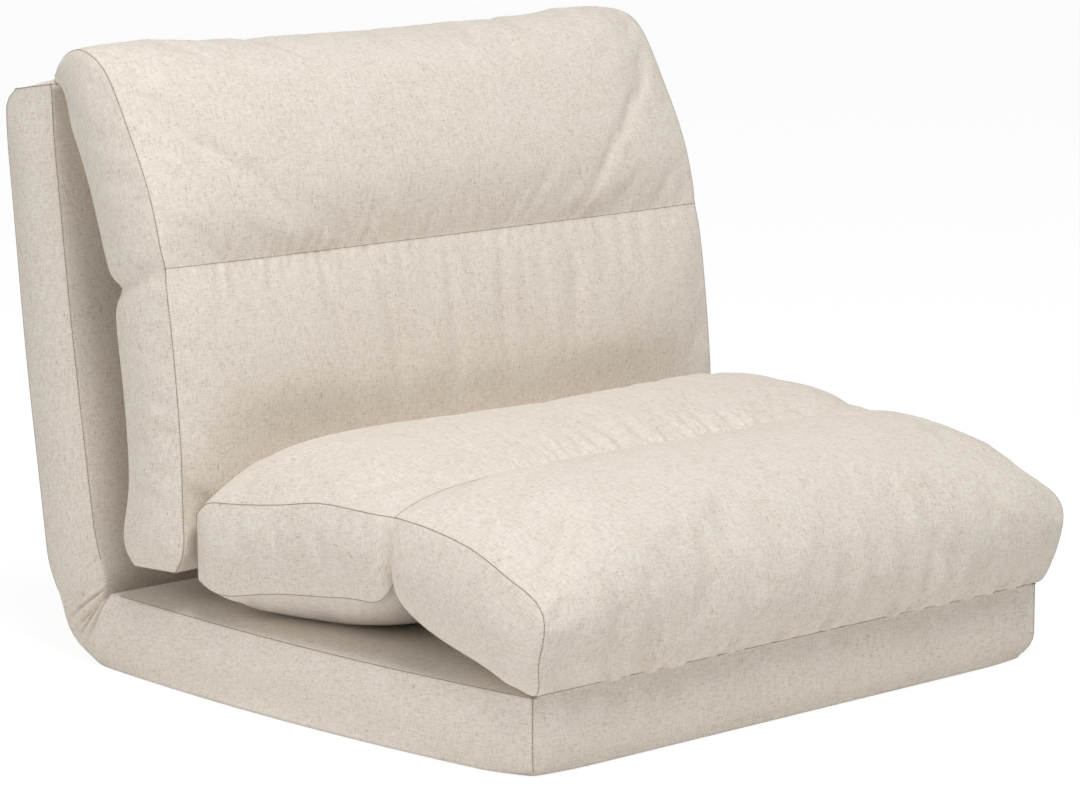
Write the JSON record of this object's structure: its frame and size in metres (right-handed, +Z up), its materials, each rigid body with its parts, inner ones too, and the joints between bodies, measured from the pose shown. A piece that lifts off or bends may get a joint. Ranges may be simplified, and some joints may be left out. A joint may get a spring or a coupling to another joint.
{
  "type": "folding floor chair",
  "caption": "Legless folding floor chair: padded base and ratchet-hinged back panel, seat cushion that folds out forwards and a back cushion that hangs from the top edge.",
  "frame": {"origin": "middle of the base panel's underside, on the floor", "axes": "+X across the chair to the sitter's left, -Y the front, +Y towards the back panel, +Z up"},
  "size_m": [0.8, 0.875, 0.6758],
  "materials": {
    "beige_linen_weave": "woven, heathered, matte",
    "cushion_foam": "open cell foam, matte",
    "underside_cloth": "non-woven, matte",
    "zip_tape": "woven tape with moulded teeth",
    "zip_slider_metal": "nickel plated, satin",
    "coated_steel_tube": "powder coated, semi-matte",
    "zinc_plated_steel": "pressed and zinc plated",
    "rivet_steel": "zinc plated",
    "black_plastic": "moulded, matte"
  },
  "bodies": {
    "base": {"base_cover": "beige_linen_weave", "base_end_tube": "coated_steel_tube", "base_hinge_end_tube": "coated_steel_tube", "base_inner_foam": "cushion_foam", "base_left_tube": "coated_steel_tube", "base_middle_tube": "coated_steel_tube", "base_outer_foam": "cushion_foam", "base_right_tube": "coated_steel_tube", "base_tongue_rivets": "rivet_steel", "base_tube_plugs": "black_plastic", "base_underside_cloth": "underside_cloth", "corner_cloth": "beige_linen_weave", "crease_cloth": "beige_linen_weave", "left_hinge_cheek_inner": "zinc_plated_steel", "left_hinge_cheek_outer": "zinc_plated_steel", "left_hinge_pawl": "zinc_plated_steel", "left_hinge_pawl_pin": "rivet_steel", "left_hinge_pawl_spring": "zinc_plated_steel", "left_hinge_pivot_rivet": "rivet_steel", "left_hinge_stop_pin": "rivet_steel", "right_hinge_cheek_inner": "zinc_plated_steel", "right_hinge_cheek_outer": "zinc_plated_steel", "right_hinge_pawl": "zinc_plated_steel", "right_hinge_pawl_pin": "rivet_steel", "right_hinge_pawl_spring": "zinc_plated_steel", "right_hinge_pivot_rivet": "rivet_steel", "right_hinge_stop_pin": "rivet_steel", "seat_piping": "beige_linen_weave"},
    "back": {"back_cover": "beige_linen_weave", "back_end_tube": "coated_steel_tube", "back_hinge_end_tube": "coated_steel_tube", "back_inner_foam": "cushion_foam", "back_left_tube": "coated_steel_tube", "back_middle_tube": "coated_steel_tube", "back_outer_foam": "cushion_foam", "back_piping": "beige_linen_weave", "back_right_tube": "coated_steel_tube", "back_tongue_rivets": "rivet_steel", "back_tube_plugs": "black_plastic", "left_hinge_ratchet_leaf": "zinc_plated_steel", "panel_zip": "zip_tape", "right_hinge_ratchet_leaf": "zinc_plated_steel"},
    "back_upper": {"back_channel_tape": "beige_linen_weave", "back_upper_cover": "beige_linen_weave", "back_upper_foam": "cushion_foam"},
    "back_lower": {"back_cushion_zip": "zip_tape", "back_lower_cover": "beige_linen_weave", "back_lower_foam": "cushion_foam"},
    "seat_front": {"seat_channel_tape": "beige_linen_weave", "seat_front_cover": "beige_linen_weave", "seat_front_foam": "cushion_foam"},
    "seat_rear": {"seat_cushion_zip": "zip_tape", "seat_rear_cover": "beige_linen_weave", "seat_rear_foam": "cushion_foam"},
    "panel_zip_slider": {"panel_zip_slider": "zip_slider_metal"},
    "back_cushion_zip_slider": {"back_cushion_zip_slider": "zip_slider_metal"},
    "seat_cushion_zip_slider": {"seat_cushion_zip_slider": "zip_slider_metal"}
  },
  "joints": [
    {"name": "back_recline", "type": "hinge", "parent": "base", "child": "back", "pos_m": [0, 0.36953, 0.043], "axis": [-1, 0, 0], "range_deg": [0, 81.6], "deforming": ["corner_cloth", "crease_cloth"]},
    {"name": "back_cushion_flip", "type": "hinge", "parent": "back", "child": "back_upper", "pos_m": [0, 0.41437, 0.63078], "axis": [-1, 0, 0], "range_deg": [0, 145], "deforming": ["back_lower_cover", "back_lower_foam"]},
    {"name": "back_cushion_unfold", "type": "hinge", "parent": "back_upper", "child": "back_lower", "pos_m": [0, 0.22237, 0.44778], "axis": [-1, 0, 0], "range_deg": [0, 22]},
    {"name": "seat_flip", "type": "hinge", "parent": "base", "child": "seat_front", "pos_m": [0, -0.336, 0.0845], "axis": [1, 0, 0], "range_deg": [0, 146]},
    {"name": "seat_unfold", "type": "hinge", "parent": "seat_front", "child": "seat_rear", "pos_m": [0, -0.146, 0.2345], "axis": [1, 0, 0], "range_deg": [0, 32]},
    {"name": "panel_zip_slide", "type": "slide", "parent": "back", "child": "panel_zip_slider", "axis": [1, 0, 0], "range_m": [0, 0.46]},
    {"name": "back_cushion_zip_slide", "type": "slide", "parent": "back_lower", "child": "back_cushion_zip_slider", "axis": [1, 0, 0], "range_m": [0, 0.46]},
    {"name": "seat_cushion_zip_slide", "type": "slide", "parent": "seat_rear", "child": "seat_cushion_zip_slider", "axis": [1, 0, 0], "range_m": [0, 0.46]}
  ],
  "couplings": [
    {"joint": "back_cushion_unfold", "follows": "back_recline", "ratio": 0.26961},
    {"joint": "seat_unfold", "follows": "seat_flip", "ratio": 0.21918}
  ]
}
